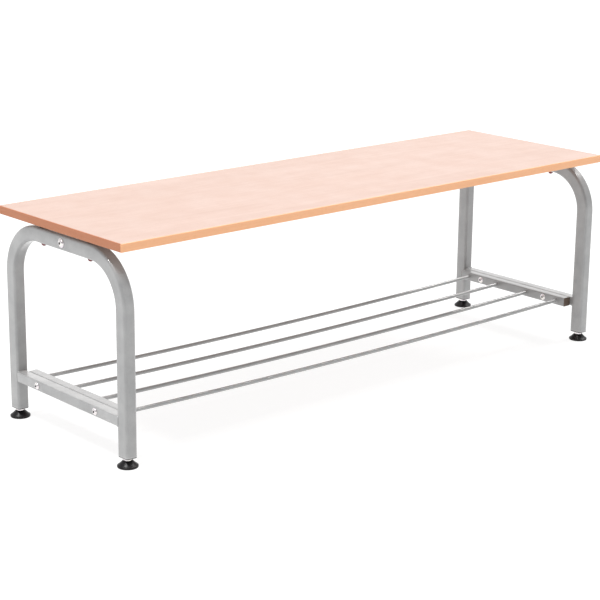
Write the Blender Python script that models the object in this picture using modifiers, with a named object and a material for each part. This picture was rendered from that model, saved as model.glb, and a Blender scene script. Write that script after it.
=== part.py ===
"""Changing-room bench with a shoe rack: a banded board on two bent-tube end frames, joined by a hidden
beam, with a bolted rod rack and four levelling feet. Metres, +Z up, +X along the seat, floor at Z = 0."""

import math

import bmesh
import bpy
from mathutils import Vector

# ---- driving dimensions ------------------------------------------------------------------------------
SEAT_LENGTH = 1.300
SEAT_DEPTH = 0.400
SEAT_HEIGHT = 0.425
BOARD_THICKNESS = 0.016
BAND_THICKNESS = 0.002
GAP = 0.0003  # air between pieces that touch on the real bench

FRAME_OVERHANG_X = 0.008  # board edge to the frame's outer face
FRAME_OVERHANG_Y = 0.005
TUBE_IN_PLANE = 0.030
TUBE_ACROSS = 0.025
TUBE_CORNER = 0.0055
TUBE_WALL = 0.0015
BEND_RADIUS = 0.092  # to the tube's centre line
BEND_STEPS = 10
CORNER_STEPS = 3
LEG_BOTTOM = 0.0205
SPACER_HEIGHT = 0.0063
BEAM_WIDTH = 0.020

CROSSBAR_SIDE = 0.020
CROSSBAR_WIDTH = 0.022
COPE_GAP = 0.0004  # between a crossbar's saddled end and the leg
CROSSBAR_CORNER = 0.0025
RACK_Z = 0.0867
RACK_TUBE_LENGTH = 0.316
PLUG_FLANGE = 0.002
PLUG_DEPTH = 0.012
PLUG_CORNER = 0.0009
ROD_RADIUS = 0.004
ROD_SAG = 0.0075
ROD_STEPS = 14
ROD_PLACES_Y = (-0.135, -0.045, 0.045, 0.135)
RACK_BOLT_Y = 0.0965
BOARD_SCREW_Y = 0.076
BEAM_SCREW_X = 0.300

PAD_RADIUS = 0.0198
PAD_TOP_RADIUS = 0.0096
PAD_HEIGHT = 0.0134
HEX_FLATS = 0.015
HEX_HEIGHT = 0.0045
STEM_RADIUS = 0.0047
STEM_LENGTH = 0.036
STEM_BORE = 0.0050
BALL_RADIUS = 0.0042
NECK_RADIUS = 0.0032
INSERT_FLANGE = 0.0017
INSERT_DEPTH = 0.028

BALL_CENTRE = 0.0090
INSERT_CORNER = TUBE_CORNER - TUBE_WALL
INSERT_TAPER = 0.0006
INSERT_MARGIN = 0.001  # by which the flange is smaller than the tube
STEM_CHAMFER = 0.001

SCREW_RADIUS = 0.00225
SCREW_HOLE = 0.00275
SCREW_HEAD_RADIUS = 0.0056
SCREW_HEAD_HEIGHT = 0.0065
SCREW_IN_BOARD = 0.012
SCREW_POINT = 0.0045
SPACER_RADIUS = 0.008

RAIL_BOLT_SHANK = (0.0040, 0.045)  # radius, length
RAIL_BOLT_HOLE = 0.0044
RAIL_BOLT_HEAD = (0.0088, 0.0072, 0.0044)  # collar radius, head radius, head height
RAIL_BOLT_SOCKET = 0.005
BEAM_NUT_LENGTH = 0.028
BEAM_NUT_CORNER = 0.0010

RACK_BOLT_SHANK = (0.0030, 0.040)
RACK_BOLT_HOLE = 0.0034
RACK_BOLT_HEAD = (0.0070, 0.0054, 0.0034)
RACK_BOLT_SOCKET = 0.004
RACK_NUT_SLEEVE = (0.0043, 0.0034, 0.0120)  # outer radius, bore radius, length
RACK_SLEEVE_HOLE = 0.0047
COLLAR_HEIGHT = 0.0010
SOCKET_SHARE = 0.55  # socket depth as a share of the head's height

THROUGH = 0.050  # cutter long enough to pass through any tube or insert
WALL_CUT = 0.010  # cutter that opens one wall of a tube only

ROUND_STEPS = 24
SMALL_STEPS = 16

# ---- places worked out from the driving dimensions ---------------------------------------------------
BOARD_BOTTOM = SEAT_HEIGHT - BOARD_THICKNESS
RAIL_TOP = BOARD_BOTTOM - SPACER_HEIGHT
RAIL_Z = RAIL_TOP - TUBE_IN_PLANE / 2
RAIL_BOTTOM = RAIL_TOP - TUBE_IN_PLANE
FRAME_X = SEAT_LENGTH / 2 - FRAME_OVERHANG_X - TUBE_ACROSS / 2
LEG_Y = SEAT_DEPTH / 2 - FRAME_OVERHANG_Y - TUBE_IN_PLANE / 2
FRAME_OUTER_X = FRAME_X + TUBE_ACROSS / 2
FRAME_INNER_X = FRAME_X - TUBE_ACROSS / 2
RACK_TUBE_X = FRAME_OUTER_X - CROSSBAR_WIDTH - GAP - CROSSBAR_SIDE / 2
RACK_INNER_X = RACK_TUBE_X - CROSSBAR_SIDE / 2
HEX_TOP = LEG_BOTTOM - GAP - INSERT_FLANGE - GAP
HEX_BOTTOM = HEX_TOP - HEX_HEIGHT

SIDES = (("left", -1), ("right", 1))
ENDS = (("front", -1), ("rear", 1))


# ---- scene set-up ------------------------------------------------------------------------------------
def clear_scene():
    for item in list(bpy.data.objects):
        bpy.data.objects.remove(item, do_unlink=True)


def new_collection(name):
    collection = bpy.data.collections.new(name)
    bpy.context.scene.collection.children.link(collection)
    return collection


clear_scene()
PARTS = new_collection("changing_room_bench")
CUTTERS = new_collection("cutters")


def new_material(name, colour, roughness, metallic):
    material = bpy.data.materials.new(name)
    material.use_nodes = True
    shader = material.node_tree.nodes["Principled BSDF"]
    shader.inputs["Base Color"].default_value = (*colour, 1.0)
    shader.inputs["Roughness"].default_value = roughness
    shader.inputs["Metallic"].default_value = metallic
    return material


BOARD = new_material("board_laminate", (0.90, 0.68, 0.57), 0.45, 0.0)
BAND = new_material("edge_band", (0.83, 0.47, 0.24), 0.45, 0.0)
PAINT = new_material("grey_powder_coat", (0.42, 0.42, 0.42), 0.40, 0.3)
ZINC = new_material("zinc_plate", (0.72, 0.70, 0.70), 0.30, 1.0)
BLACK = new_material("black_plastic", (0.02, 0.02, 0.02), 0.30, 0.0)
BROWN = new_material("brown_plastic", (0.13, 0.08, 0.05), 0.50, 0.0)
DARK_STEEL = new_material("dark_screw_steel", (0.10, 0.05, 0.05), 0.40, 0.8)


# ---- helpers -----------------------------------------------------------------------------------------
def add_object(name, mesh, material, location=(0, 0, 0), rotation=(0, 0, 0), parent=None):
    item = bpy.data.objects.new(name, mesh)
    item.location = location
    item.rotation_euler = rotation
    item.parent = parent
    if material is not None:
        item.data.materials.append(material)
    PARTS.objects.link(item)
    return item


def mesh_from(bm, name):
    bmesh.ops.recalc_face_normals(bm, faces=bm.faces)
    mesh = bpy.data.meshes.new(name)
    bm.to_mesh(mesh)
    bm.free()
    return mesh


def smooth(item, angle=35):
    item.data.shade_smooth()
    item.data.set_sharp_from_angle(angle=math.radians(angle))


def box_mesh(name, size):
    bm = bmesh.new()
    bmesh.ops.create_cube(bm, size=1.0)
    bmesh.ops.scale(bm, vec=Vector(size), verts=bm.verts)
    return mesh_from(bm, name)


def rounded_outline(width, height, radius):
    """Corner-rounded rectangle in two dimensions, anticlockwise."""
    points = []
    for sx, sy, start in ((1, 1, 0), (-1, 1, 90), (-1, -1, 180), (1, -1, 270)):
        for step in range(CORNER_STEPS + 1):
            angle = math.radians(start + 90 * step / CORNER_STEPS)
            x = sx * (width / 2 - radius) + radius * math.cos(angle)
            y = sy * (height / 2 - radius) + radius * math.sin(angle)
            points.append((x, y))
    return points


def loft_tube(name, stations, width, height, radius, wall):
    """Hollow tube through the stations, each a centre and the directions of its width and its height."""
    bm = bmesh.new()
    loops = []
    for inset in (0.0, wall):
        outline = rounded_outline(width - 2 * inset, height - 2 * inset, radius - inset)
        rings = []
        for centre, across, up in stations:
            rings.append([bm.verts.new(centre + across * u + up * v) for u, v in outline])
        loops.append(rings)
    count = len(loops[0][0])
    for rings in loops:
        for first, second in zip(rings, rings[1:]):
            for i in range(count):
                j = (i + 1) % count
                bm.faces.new((first[i], first[j], second[j], second[i]))
    for end in (0, -1):
        outer, inner = loops[0][end], loops[1][end]
        for i in range(count):
            j = (i + 1) % count
            bm.faces.new((outer[i], outer[j], inner[j], inner[i]))
    return mesh_from(bm, name)


def straight_stations(half_length, axis, across, up):
    return [(axis * -half_length, across, up), (axis * half_length, across, up)]


def loft_plug(name, sections, radius):
    """Solid block of rounded rectangles stacked along +Z: each section is (z, width, height)."""
    bm = bmesh.new()
    rings = []
    for z, width, height in sections:
        rings.append([bm.verts.new((x, y, z)) for x, y in rounded_outline(width, height, radius)])
    count = len(rings[0])
    for first, second in zip(rings, rings[1:]):
        for i in range(count):
            j = (i + 1) % count
            bm.faces.new((first[i], first[j], second[j], second[i]))
    bm.faces.new(rings[0])
    bm.faces.new(rings[-1])
    return mesh_from(bm, name)


def turned(name, profile, material, steps=ROUND_STEPS, closed=False, **place):
    """Solid of revolution about local Z from (radius, height) pairs that run down the outer side."""
    mesh = bpy.data.meshes.new(name)
    edges = [(i, i + 1) for i in range(len(profile) - 1)]
    if closed:
        edges.append((len(profile) - 1, 0))
    mesh.from_pydata([(radius, 0.0, height) for radius, height in profile], edges, [])
    item = add_object(name, mesh, material, **place)
    screw = item.modifiers.new("turn", "SCREW")
    screw.axis = "Z"
    screw.steps = steps
    screw.render_steps = steps
    screw.use_merge_vertices = True
    screw.merge_threshold = 0.00001
    return item


def prism_tool(name, sides, radius, length, location, axis="Z"):
    """Hidden prism used to cut or to add: centred at the location, along the named axis."""
    bm = bmesh.new()
    bmesh.ops.create_cone(
        bm, cap_ends=True, segments=sides, radius1=radius, radius2=radius, depth=length
    )
    item = bpy.data.objects.new(name, mesh_from(bm, name))
    item.location = location
    item.rotation_euler = {"X": (0, math.pi / 2, 0), "Z": (0, 0, 0)}[axis]
    item.hide_render = True
    item.display_type = "WIRE"
    CUTTERS.objects.link(item)
    return item


def combine(item, tool, operation):
    modifier = item.modifiers.new(operation.lower(), "BOOLEAN")
    modifier.operation = operation
    modifier.solver = "EXACT"
    modifier.object = tool


def drill(item, name, radius, length, location, axis):
    combine(item, prism_tool(name, SMALL_STEPS, radius, length, location, axis), "DIFFERENCE")


# ---- seat --------------------------------------------------------------------------------------------
SCREW_PLACES = [
    (f"{side}_{end}", sx * FRAME_X, sy * BOARD_SCREW_Y) for side, sx in SIDES for end, sy in ENDS
] + [(f"beam_{side}", sx * BEAM_SCREW_X, 0.0) for side, sx in SIDES]


def build_seat():
    core_length = SEAT_LENGTH - 2 * (BAND_THICKNESS + GAP)
    core_depth = SEAT_DEPTH - 2 * (BAND_THICKNESS + GAP)
    middle = SEAT_HEIGHT - BOARD_THICKNESS / 2
    core_mesh = box_mesh("seat_board", (core_length, core_depth, BOARD_THICKNESS))
    core = add_object("seat_board", core_mesh, BOARD, (0, 0, middle))
    for label, x, y in SCREW_PLACES:
        depth = 2 * (SCREW_IN_BOARD + 2 * GAP)
        drill(core, f"pilot_{label}", SCREW_HOLE, depth, (x, y, BOARD_BOTTOM), "Z")
    for end, sy in ENDS:
        name = f"edge_band_{end}"
        y = sy * (SEAT_DEPTH - BAND_THICKNESS) / 2
        mesh = box_mesh(name, (SEAT_LENGTH, BAND_THICKNESS, BOARD_THICKNESS))
        add_object(name, mesh, BAND, (0, y, middle))
    for side, sx in SIDES:
        name = f"edge_band_{side}"
        x = sx * (SEAT_LENGTH - BAND_THICKNESS) / 2
        mesh = box_mesh(name, (BAND_THICKNESS, core_depth, BOARD_THICKNESS))
        add_object(name, mesh, BAND, (x, 0, middle))


# ---- end frames --------------------------------------------------------------------------------------
def frame_stations():
    """The bent tube's centre line in the YZ plane, from one leg's foot over the rail to the other's."""
    across = Vector((1, 0, 0))
    bend_y = LEG_Y - BEND_RADIUS
    bend_z = RAIL_Z - BEND_RADIUS
    stations = [(Vector((0, -LEG_Y, LEG_BOTTOM)), across, Vector((0, -1, 0)))]
    for centre_y, start in ((-bend_y, 180), (bend_y, 90)):
        for step in range(BEND_STEPS + 1):
            angle = math.radians(start - 90 * step / BEND_STEPS)
            outward = Vector((0, math.cos(angle), math.sin(angle)))
            centre = Vector((0, centre_y, bend_z)) + outward * BEND_RADIUS
            stations.append((centre, across, outward))
    stations.append((Vector((0, LEG_Y, LEG_BOTTOM)), across, Vector((0, 1, 0))))
    return stations


def leg_clearance(name, sx, sy):
    """Cutter a little larger than a leg, which saddles the end of the crossbar that meets it."""
    width, height = TUBE_ACROSS + 2 * COPE_GAP, TUBE_IN_PLANE + 2 * COPE_GAP
    sections = ((-THROUGH / 2, width, height), (THROUGH / 2, width, height))
    item = bpy.data.objects.new(name, loft_plug(name, sections, TUBE_CORNER + COPE_GAP))
    item.location = (sx * FRAME_X, sy * LEG_Y, RACK_Z)
    item.hide_render = True
    item.display_type = "WIRE"
    CUTTERS.objects.link(item)
    return item


def build_end_frame(side, sx):
    name = f"{side}_frame_tube"
    mesh = loft_tube(name, frame_stations(), TUBE_ACROSS, TUBE_IN_PLANE, TUBE_CORNER, TUBE_WALL)
    tube = add_object(name, mesh, PAINT, (sx * FRAME_X, 0, 0))
    smooth(tube)
    rail = (sx * FRAME_X, 0, RAIL_Z)
    drill(tube, f"rail_bolt_hole_{side}", RAIL_BOLT_HOLE, THROUGH, rail, "X")
    for end, sy in ENDS:
        place = (sx * FRAME_X, sy * BOARD_SCREW_Y, RAIL_Z)
        drill(tube, f"rail_screw_hole_{side}_{end}", SCREW_HOLE, THROUGH, place, "Z")

    name = f"{side}_crossbar"
    stations = straight_stations(LEG_Y, Vector((0, 1, 0)), Vector((1, 0, 0)), Vector((0, 0, 1)))
    mesh = loft_tube(name, stations, CROSSBAR_WIDTH, CROSSBAR_SIDE, CROSSBAR_CORNER, TUBE_WALL)
    bar = add_object(name, mesh, PAINT, (sx * (FRAME_OUTER_X - CROSSBAR_WIDTH / 2), 0, RACK_Z))
    smooth(bar)
    for end, sy in ENDS:
        combine(bar, leg_clearance(f"cope_{side}_{end}", sx, sy), "DIFFERENCE")
        place = (sx * FRAME_X, sy * RACK_BOLT_Y, RACK_Z)
        drill(bar, f"crossbar_hole_{side}_{end}", RACK_BOLT_HOLE, THROUGH, place, "X")


# ---- fasteners ---------------------------------------------------------------------------------------
def head_profile(collar_radius, head_radius, head_height):
    """Domed head on a thin collar, from the axis at the top to the collar's bearing face."""
    dome = []
    for step in range(5):
        angle = math.radians(90 - 18 * step)
        radius = head_radius * math.cos(angle)
        dome.append((radius, COLLAR_HEIGHT + (head_height - COLLAR_HEIGHT) * math.sin(angle)))
    return dome + [(head_radius, COLLAR_HEIGHT), (collar_radius, COLLAR_HEIGHT * 0.8), (collar_radius, 0.0)]


def cut_socket(item, flats, head_height):
    """Six-sided socket in a head that points along local +Z."""
    depth = head_height * SOCKET_SHARE
    radius = flats / 2 / math.cos(math.pi / 6)
    tool = prism_tool(f"socket_{item.name}", 6, radius, 2 * depth, (0, 0, head_height))
    tool.parent = item
    combine(item, tool, "DIFFERENCE")


def button_bolt(name, shank, sizes, flats, location, rotation):
    radius, length = shank
    profile = head_profile(*sizes) + [(radius, 0.0), (radius, -length), (0.0, -length)]
    item = turned(name, profile, ZINC, location=location, rotation=rotation)
    cut_socket(item, flats, sizes[2])


def sleeve_nut(name, sizes, flats, sleeve, location, rotation):
    sleeve_radius, bore_radius, length = sleeve
    bore_end = -COLLAR_HEIGHT
    profile = head_profile(*sizes) + [
        (sleeve_radius, 0.0),
        (sleeve_radius, -length),
        (bore_radius, -length),
        (bore_radius, bore_end),
        (0.0, bore_end),
    ]
    item = turned(name, profile, ZINC, location=location, rotation=rotation)
    cut_socket(item, flats, sizes[2])


def pan_screw(name, x, y):
    """Pan-head wood screw, head down, from under a rail or the beam up into the board."""
    seat = RAIL_BOTTOM - GAP
    tip = BOARD_BOTTOM + SCREW_IN_BOARD
    profile = [
        (0.0, tip - seat),
        (SCREW_RADIUS * 0.5, tip - seat - SCREW_POINT / 3),
        (SCREW_RADIUS, tip - seat - SCREW_POINT),
        (SCREW_RADIUS, 0.0),
        (SCREW_HEAD_RADIUS, 0.0),
        (SCREW_HEAD_RADIUS, -SCREW_HEAD_HEIGHT * 0.45),
        (SCREW_HEAD_RADIUS * 0.8, -SCREW_HEAD_HEIGHT * 0.85),
        (SCREW_HEAD_RADIUS * 0.4, -SCREW_HEAD_HEIGHT),
        (0.0, -SCREW_HEAD_HEIGHT),
    ]
    turned(name, profile, DARK_STEEL, steps=SMALL_STEPS, location=(x, y, seat))


def spacer(name, x, y):
    """Washer that keeps the board clear of the rail's welded and painted top."""
    half = SPACER_HEIGHT / 2 - GAP
    profile = [(SCREW_HOLE, half), (SPACER_RADIUS, half), (SPACER_RADIUS, -half), (SCREW_HOLE, -half)]
    place = (x, y, BOARD_BOTTOM - SPACER_HEIGHT / 2)
    turned(name, profile, BLACK, steps=SMALL_STEPS, closed=True, location=place)


def build_fasteners():
    for label, x, y in SCREW_PLACES:
        pan_screw(f"board_screw_{label}", x, y)
        spacer(f"board_spacer_{label}", x, y)
    for side, sx in SIDES:
        outward = (0, sx * math.pi / 2, 0)
        inward = (0, -sx * math.pi / 2, 0)
        place = (sx * (FRAME_OUTER_X + GAP), 0, RAIL_Z)
        name = f"{side}_rail_bolt"
        button_bolt(name, RAIL_BOLT_SHANK, RAIL_BOLT_HEAD, RAIL_BOLT_SOCKET, place, outward)
        for end, sy in ENDS:
            y = sy * RACK_BOLT_Y
            place = (sx * (FRAME_OUTER_X + GAP), y, RACK_Z)
            name = f"rack_bolt_{side}_{end}"
            button_bolt(name, RACK_BOLT_SHANK, RACK_BOLT_HEAD, RACK_BOLT_SOCKET, place, outward)
            place = (sx * (RACK_INNER_X - GAP), y, RACK_Z)
            name = f"rack_nut_{side}_{end}"
            sleeve_nut(name, RACK_BOLT_HEAD, RACK_BOLT_SOCKET, RACK_NUT_SLEEVE, place, inward)


# ---- stiffening beam ---------------------------------------------------------------------------------
def build_beam():
    half = FRAME_INNER_X - GAP
    stations = straight_stations(half, Vector((1, 0, 0)), Vector((0, 1, 0)), Vector((0, 0, 1)))
    mesh = loft_tube("seat_beam", stations, BEAM_WIDTH, TUBE_IN_PLANE, CROSSBAR_CORNER, TUBE_WALL)
    beam = add_object("seat_beam", mesh, PAINT, (0, 0, RAIL_Z))
    smooth(beam)
    for side, sx in SIDES:
        drill(beam, f"beam_hole_{side}", SCREW_HOLE, THROUGH, (sx * BEAM_SCREW_X, 0, RAIL_Z), "Z")
        name = f"beam_nut_{side}"
        width = BEAM_WIDTH - 2 * (TUBE_WALL + GAP)
        height = TUBE_IN_PLANE - 2 * (TUBE_WALL + GAP)
        reach = BEAM_NUT_LENGTH / 2
        mesh = loft_plug(name, ((-reach, height, width), (reach, height, width)), BEAM_NUT_CORNER)
        place = (sx * (half - reach), 0, RAIL_Z)
        nut = add_object(name, mesh, ZINC, place, (0, math.pi / 2, 0))
        drill(nut, f"beam_nut_bore_{side}", RAIL_BOLT_HOLE, THROUGH, place, "X")


# ---- rack --------------------------------------------------------------------------------------------
def rod_mesh(name):
    """Rod along X that hangs a little below its two ends."""
    bm = bmesh.new()
    half = RACK_INNER_X - GAP
    rings = []
    for station in range(ROD_STEPS + 1):
        share = 2 * station / ROD_STEPS - 1
        drop = ROD_SAG * (1 - share * share)
        ring = []
        for step in range(SMALL_STEPS):
            angle = 2 * math.pi * step / SMALL_STEPS
            y, z = ROD_RADIUS * math.cos(angle), ROD_RADIUS * math.sin(angle)
            ring.append(bm.verts.new((share * half, y, z - drop)))
        rings.append(ring)
    for first, second in zip(rings, rings[1:]):
        for i in range(SMALL_STEPS):
            j = (i + 1) % SMALL_STEPS
            bm.faces.new((first[i], first[j], second[j], second[i]))
    bm.faces.new(rings[0])
    bm.faces.new(rings[-1])
    return mesh_from(bm, name)


def build_rack():
    for side, sx in SIDES:
        name = f"rack_tube_{side}"
        half = RACK_TUBE_LENGTH / 2
        stations = straight_stations(half, Vector((0, 1, 0)), Vector((1, 0, 0)), Vector((0, 0, 1)))
        mesh = loft_tube(name, stations, CROSSBAR_SIDE, CROSSBAR_SIDE, CROSSBAR_CORNER, TUBE_WALL)
        tube = add_object(name, mesh, PAINT, (sx * RACK_TUBE_X, 0, RACK_Z))
        smooth(tube)
        for end, sy in ENDS:
            outer_wall = (sx * (RACK_TUBE_X + CROSSBAR_SIDE / 2), sy * RACK_BOLT_Y, RACK_Z)
            drill(tube, f"rack_hole_{side}_{end}", RACK_BOLT_HOLE, WALL_CUT, outer_wall, "X")
            inner_wall = (sx * RACK_INNER_X, sy * RACK_BOLT_Y, RACK_Z)
            drill(tube, f"rack_sleeve_hole_{side}_{end}", RACK_SLEEVE_HOLE, WALL_CUT, inner_wall, "X")
            plug_name = f"rack_plug_{side}_{end}"
            full = CROSSBAR_SIDE - 2 * GAP
            bore = CROSSBAR_SIDE - 2 * (TUBE_WALL + GAP)
            stem = ((-PLUG_DEPTH, bore, bore), (GAP, bore, bore))
            flange = ((GAP, full, full), (PLUG_FLANGE, full, full))
            plug_mesh = loft_plug(plug_name, stem + flange, PLUG_CORNER)
            place = (sx * RACK_TUBE_X, sy * half, RACK_Z)
            add_object(plug_name, plug_mesh, BROWN, place, (-sy * math.pi / 2, 0, 0))
    for number, y in enumerate(ROD_PLACES_Y, start=1):
        name = f"rack_rod_{number}"
        rod = add_object(name, rod_mesh(name), PAINT, (0, y, RACK_Z))
        smooth(rod)


# ---- levelling feet ----------------------------------------------------------------------------------
# radius and height: round the socket for the ball, over the rim, down the cone and under the sole
PAD_PROFILE = [
    (0.0, 0.0040),
    (0.0034, 0.0040),
    (0.0050, 0.0056),
    (0.0050, 0.0088),
    (0.0037, 0.0108),
    (0.0037, PAD_HEIGHT),
    (PAD_TOP_RADIUS - 0.0008, PAD_HEIGHT),
    (PAD_TOP_RADIUS, PAD_HEIGHT - 0.0008),
    (PAD_RADIUS - 0.0004, 0.0046),
    (PAD_RADIUS, 0.0036),
    (PAD_RADIUS, 0.0022),
    (PAD_RADIUS - 0.0016, 0.0),
    (0.0, 0.0),
]


def ball_arc():
    """The ball under the hex, from its neck down to its lowest point."""
    start = math.degrees(math.asin(NECK_RADIUS / BALL_RADIUS))
    points = []
    for step in range(6):
        angle = math.radians(start + (180 - start) * step / 5)
        points.append((BALL_RADIUS * math.sin(angle), BALL_CENTRE + BALL_RADIUS * math.cos(angle)))
    points[-1] = (0.0, points[-1][1])
    return points


def build_foot(side, sx, end, sy):
    label = f"{side}_{end}"
    joint = bpy.data.objects.new(f"foot_{label}", None)
    joint.location = (sx * FRAME_X, sy * LEG_Y, 0)
    PARTS.objects.link(joint)

    width = TUBE_ACROSS - 2 * (TUBE_WALL + GAP)
    height = TUBE_IN_PLANE - 2 * (TUBE_WALL + GAP)
    flange_w = TUBE_ACROSS - INSERT_MARGIN
    flange_h = TUBE_IN_PLANE - INSERT_MARGIN
    base = LEG_BOTTOM - GAP
    sections = (
        (base - INSERT_FLANGE, flange_w, flange_h),
        (base, flange_w, flange_h),
        (base, width, height),
        (base + INSERT_DEPTH, width - INSERT_TAPER, height - INSERT_TAPER),
    )
    name = f"leg_insert_{label}"
    insert = add_object(name, loft_plug(name, sections, INSERT_CORNER), BLACK, (sx * FRAME_X, sy * LEG_Y, 0))
    place = (sx * FRAME_X, sy * LEG_Y, base + INSERT_DEPTH / 2)
    drill(insert, f"insert_bore_{label}", STEM_BORE, THROUGH, place, "Z")

    turned(f"foot_pad_{label}", PAD_PROFILE, BLACK, parent=joint)

    top = HEX_TOP + STEM_LENGTH
    profile = [
        (0.0, top),
        (STEM_RADIUS - STEM_CHAMFER, top),
        (STEM_RADIUS, top - STEM_CHAMFER),
        (STEM_RADIUS, HEX_BOTTOM + HEX_HEIGHT / 2),
        (NECK_RADIUS, HEX_BOTTOM + HEX_HEIGHT / 2),
    ] + ball_arc()
    stem = turned(f"foot_stem_{label}", profile, ZINC, parent=joint)
    hex_radius = HEX_FLATS / 2 / math.cos(math.pi / 6)
    hex_middle = (0, 0, HEX_BOTTOM + HEX_HEIGHT / 2)
    hexagon = prism_tool(f"hex_{label}", 6, hex_radius, HEX_HEIGHT, hex_middle)
    hexagon.parent = joint
    combine(stem, hexagon, "UNION")


# ---- assembly ----------------------------------------------------------------------------------------
build_seat()
build_beam()
for side_name, side_sign in SIDES:
    build_end_frame(side_name, side_sign)
    for end_name, end_sign in ENDS:
        build_foot(side_name, side_sign, end_name, end_sign)
build_rack()
build_fasteners()
bpy.context.view_layer.update()
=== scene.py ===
"""Looks of a changing-room bench with a shoe rack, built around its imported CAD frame.

Nearly every piece stands for one CAD node and is built again, finer, from that node's box: the banded
board, the bent tubes, the bolted rod rack, the fasteners and the four screw feet. The weld beads are extra.
Metres, +Z up, +X along the seat, the front edge towards -Y.
"""

import math
from collections import namedtuple

import bmesh
import bpy
from mathutils import Euler, Matrix, Vector


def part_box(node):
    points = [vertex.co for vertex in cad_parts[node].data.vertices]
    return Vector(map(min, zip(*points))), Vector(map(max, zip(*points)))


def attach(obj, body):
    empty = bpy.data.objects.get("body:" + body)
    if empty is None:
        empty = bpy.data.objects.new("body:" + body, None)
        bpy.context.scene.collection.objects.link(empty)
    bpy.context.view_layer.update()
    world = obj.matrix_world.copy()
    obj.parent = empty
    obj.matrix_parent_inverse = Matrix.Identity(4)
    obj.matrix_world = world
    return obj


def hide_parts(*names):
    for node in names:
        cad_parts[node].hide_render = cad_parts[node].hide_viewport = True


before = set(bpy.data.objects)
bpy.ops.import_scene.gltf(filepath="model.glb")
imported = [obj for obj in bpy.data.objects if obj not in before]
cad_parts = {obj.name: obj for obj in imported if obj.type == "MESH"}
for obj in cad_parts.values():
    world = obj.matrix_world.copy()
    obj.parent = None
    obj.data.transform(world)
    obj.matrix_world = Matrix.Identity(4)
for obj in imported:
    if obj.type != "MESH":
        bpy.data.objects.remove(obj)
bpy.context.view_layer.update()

MM = 0.001
SIDES = (("left", -1), ("right", 1))
ENDS = (("front", -1), ("rear", 1))
X_AXIS = Vector((1, 0, 0))
Y_AXIS = Vector((0, 1, 0))
Z_AXIS = Vector((0, 0, 1))

# ---- sizes that the boxes of the CAD nodes do not give ------------------------------------------------
TUBE_WALL = 1.5 * MM
FRAME_TUBE_CORNER = 5.5 * MM
BEND_RADIUS = 92 * MM
BEND_STEPS = 36
BEND_DISH = 0.5 * MM  # how far the inside wall of a bend is drawn in
SMALL_TUBE_CORNER = 2.5 * MM
COPE_GAP = 0.05 * MM  # between a crossbar's saddled end and the leg, under the weld
COPE_HALF_HEIGHT = 30 * MM
CORNER_STEPS = 7
ROUND_STEPS = 48
SEAM = 0.05 * MM
BAND_RADIUS = 1.1 * MM
BAND_STEPS = 4
BOARD_EDGE = 0.2 * MM
BOARD_CORNER = 0.5 * MM

SCREW_HOLE = 2.75 * MM
SCREW_HOLE_SPARE = 0.6 * MM  # depth of the board's hole past the screw's point
SCREW_SHANK = 2.2 * MM
SCREW_POINT = 4.5 * MM
SCREW_PITCH = 1.8 * MM
SCREW_THREAD_DEPTH = 0.7 * MM
SCREW_SIDES = 36
CROSS_ARM = ((-1.0, 3.2, 0.7), (0.5, 3.0, 0.65), (3.0, 1.2, 0.4))  # mm: depth, half length, half width
CROSS_TURN = 0.4
RAIL_BOLT_HOLE = 4.4 * MM
RACK_BOLT_HOLE = 3.4 * MM
RACK_SLEEVE_HOLE = 4.7 * MM
STEM_BORE = 5.0 * MM

Bolt = namedtuple("Bolt", "shank pitch flats collar head height")  # radii, but flats across the socket
RAIL_BOLT = Bolt(4.0 * MM, 1.25 * MM, 5 * MM, 8.8 * MM, 7.2 * MM, 4.4 * MM)
RACK_BOLT = Bolt(3.0 * MM, 1.0 * MM, 4 * MM, 7.0 * MM, 5.4 * MM, 3.4 * MM)
COLLAR_HEIGHT = 1.0 * MM
COLLAR_EDGE = 0.25 * MM
HEAD_EDGE = 0.15 * MM
SOCKET_DEPTH = 0.6  # of the head's height
SOCKET_FLOOR = 0.1 * MM
SHANK_FILLET = 0.2 * MM
SHANK_TIP = 0.7 * MM
THREAD_DEPTH = 0.3 * MM
THREAD_RUNOUT = 0.8 * MM
PLAIN_SHANK = 0.45  # of a bolt's length
SLEEVE_RADIUS = 4.3 * MM
SLEEVE_BORE = 3.4 * MM
SLEEVE_EDGE = 0.3 * MM

STEM_PITCH = 1.5 * MM
STEM_RADIUS = 4.7 * MM
STEM_NECK = 3.2 * MM
BALL_RADIUS = 4.2 * MM
BALL_Z = 9.0 * MM
HEX_HEIGHT = 4.5 * MM
HEX_CHAMFER = 0.55 * MM
STEM_THREAD_DEPTH = 0.55 * MM
PAD_TOP = 9.6 * MM
PAD_LIP = 3.4 * MM
PAD_HOLLOW = 0.35 * MM  # how far the cone's flank is drawn in
PAD_SIDES = 64
WELD_RADIUS = 1.5 * MM
WELD_PITCH = 2.6 * MM
WELD_SIDES = 10
WELD_SHARP = 80
ROD_WELD_RADIUS = 1.5 * MM
ROD_WELD_STEPS = 42
RIPPLE_STEPS = 5
ROD_STATIONS = 24
ROD_SIDES = 28
ROD_COUNT = 4
PLUG_RIBS = 4
INSERT_RIBS = 5


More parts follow.
